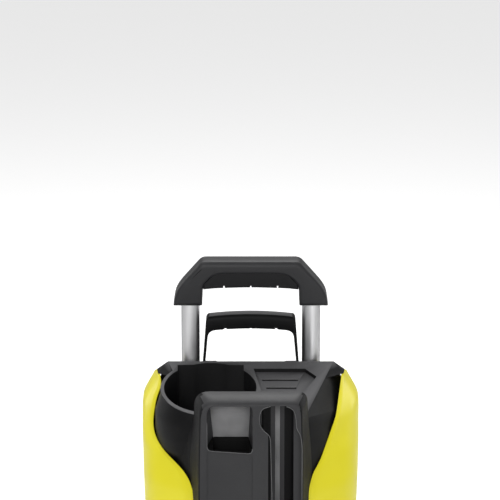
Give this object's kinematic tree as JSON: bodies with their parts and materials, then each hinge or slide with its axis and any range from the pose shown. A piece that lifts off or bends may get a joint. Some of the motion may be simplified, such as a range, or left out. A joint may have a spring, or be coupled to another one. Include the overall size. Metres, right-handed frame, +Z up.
{
  "type": "pressure washer",
  "caption": "Upright wheeled pressure washer with a telescoping handle, side bottle bay, front column with gun pocket and lance channel, motor and piston pump inside.",
  "frame": {"origin": "centre of the bounding box's base, on the floor", "axes": "+Z up, -Y the front face with the column and knob, +X to the right of someone facing the front"},
  "size_m": [0.308, 0.412, 0.585],
  "materials": {
    "yellow_plastic": "satin moulded plastic, lemon yellow",
    "black_plastic": "textured black plastic",
    "dark_grey_plastic": "lightly textured dark grey plastic",
    "grip_rubber": "soft moulded rubber",
    "tyre_rubber": "tyre rubber",
    "aluminium_tube": "drawn tube, satin anodised",
    "cast_aluminium": "die cast, shot blasted",
    "steel": "ground steel",
    "electrical_steel": "stacked laminations",
    "copper": "enamelled copper wire",
    "seal_rubber": "nitrile rubber",
    "filter_plastic": "clear blue moulded plastic",
    "hose_rubber": "flexible hose"
  },
  "bodies": {
    "machine": {"base_tray": "black_plastic", "front_feet": "seal_rubber", "inner_chassis": "black_plastic", "rear_housing": "black_plastic", "upper_housing": "black_plastic", "left_side_shell": "yellow_plastic", "right_side_shell": "yellow_plastic", "front_column": "dark_grey_plastic", "lower_front_panel": "black_plastic", "carry_handle": "black_plastic", "guide_ducts": "black_plastic", "guide_bushes": "dark_grey_plastic", "detent_springs": "steel", "axle": "steel", "switch_body": "dark_grey_plastic", "pressure_outlet": "black_plastic", "water_inlet": "black_plastic", "inlet_pipe": "hose_rubber", "inlet_filter": "filter_plastic", "cable_gland": "seal_rubber", "cable_hook_lower": "black_plastic", "motor_housing": "cast_aluminium", "motor_stator": "electrical_steel", "motor_windings": "copper", "shaft_bearings": "steel", "fan_cover": "dark_grey_plastic", "capacitor": "cast_aluminium", "pump_case": "cast_aluminium", "piston_springs": "steel", "piston_seals": "seal_rubber", "pump_head": "cast_aluminium", "pump_mounts": "seal_rubber", "pressure_pipe": "steel", "detergent_socket": "dark_grey_plastic", "detergent_spring": "steel", "detergent_hose": "hose_rubber", "housing_screws": "steel"},
    "handle": {"handle_grip": "dark_grey_plastic", "handle_grip_insert": "grip_rubber", "handle_tube_left": "aluminium_tube", "handle_tube_right": "aluminium_tube", "handle_end_plugs": "seal_rubber", "grip_screws": "black_plastic"},
    "left_wheel": {"wheel_left": "dark_grey_plastic", "tyre_left": "tyre_rubber", "hub_cap_left": "black_plastic"},
    "right_wheel": {"wheel_right": "dark_grey_plastic", "tyre_right": "tyre_rubber", "hub_cap_right": "black_plastic"},
    "knob": {"switch_knob": "yellow_plastic"},
    "upper_hook": {"cable_hook_upper": "black_plastic"},
    "motor_rotor_group": {"motor_rotor": "electrical_steel", "motor_shaft": "steel", "cooling_fan": "dark_grey_plastic", "swash_plate": "steel"},
    "piston_one": {"piston_1": "steel"},
    "piston_two": {"piston_2": "steel"},
    "piston_three": {"piston_3": "steel"},
    "valve": {"detergent_valve": "yellow_plastic"},
    "release_button": {"hose_release_button": "yellow_plastic"}
  },
  "joints": [
    {"name": "handle_slide", "type": "slide", "parent": "machine", "child": "handle", "axis": [0, 0, 1], "range_m": [0, 0.3638]},
    {"name": "left_wheel_spin", "type": "hinge", "parent": "machine", "child": "left_wheel", "pos_m": [-0.132, 0.118, 0.088], "axis": [1, 0, 0], "continuous": true},
    {"name": "right_wheel_spin", "type": "hinge", "parent": "machine", "child": "right_wheel", "pos_m": [0.132, 0.118, 0.088], "axis": [1, 0, 0], "continuous": true},
    {"name": "switch_turn", "type": "hinge", "parent": "machine", "child": "knob", "pos_m": [0.04, -0.1466, 0.104], "axis": [0, 1, 0], "range_deg": [0, 90]},
    {"name": "cable_hook_turn", "type": "hinge", "parent": "machine", "child": "upper_hook", "pos_m": [0, 0.108, 0.372], "axis": [0, 1, 0], "range_deg": [0, 180]},
    {"name": "motor_spin", "type": "hinge", "parent": "machine", "child": "motor_rotor_group", "pos_m": [0, -0.008, 0.18], "axis": [0, 0, 1], "continuous": true},
    {"name": "piston_one_stroke", "type": "slide", "parent": "machine", "child": "piston_one", "axis": [0, 0, -1], "range_m": [0, 0.006], "stiffness_N_per_m": 2000, "springref_m": -0.001, "deforming": ["piston_springs"]},
    {"name": "piston_two_stroke", "type": "slide", "parent": "machine", "child": "piston_two", "axis": [0, 0, -1], "range_m": [0, 0.006], "stiffness_N_per_m": 2000, "springref_m": -0.001},
    {"name": "piston_three_stroke", "type": "slide", "parent": "machine", "child": "piston_three", "axis": [0, 0, -1], "range_m": [0, 0.006], "stiffness_N_per_m": 2000, "springref_m": -0.001},
    {"name": "detergent_valve_press", "type": "slide", "parent": "machine", "child": "valve", "axis": [0, 0, -1], "range_m": [0, 0.005], "stiffness_N_per_m": 400, "springref_m": -0.001, "deforming": ["detergent_spring"]},
    {"name": "hose_release_press", "type": "slide", "parent": "machine", "child": "release_button", "axis": [0, 1, 0], "range_m": [0, 0.004], "stiffness_N_per_m": 600, "springref_m": -0.001}
  ]
}
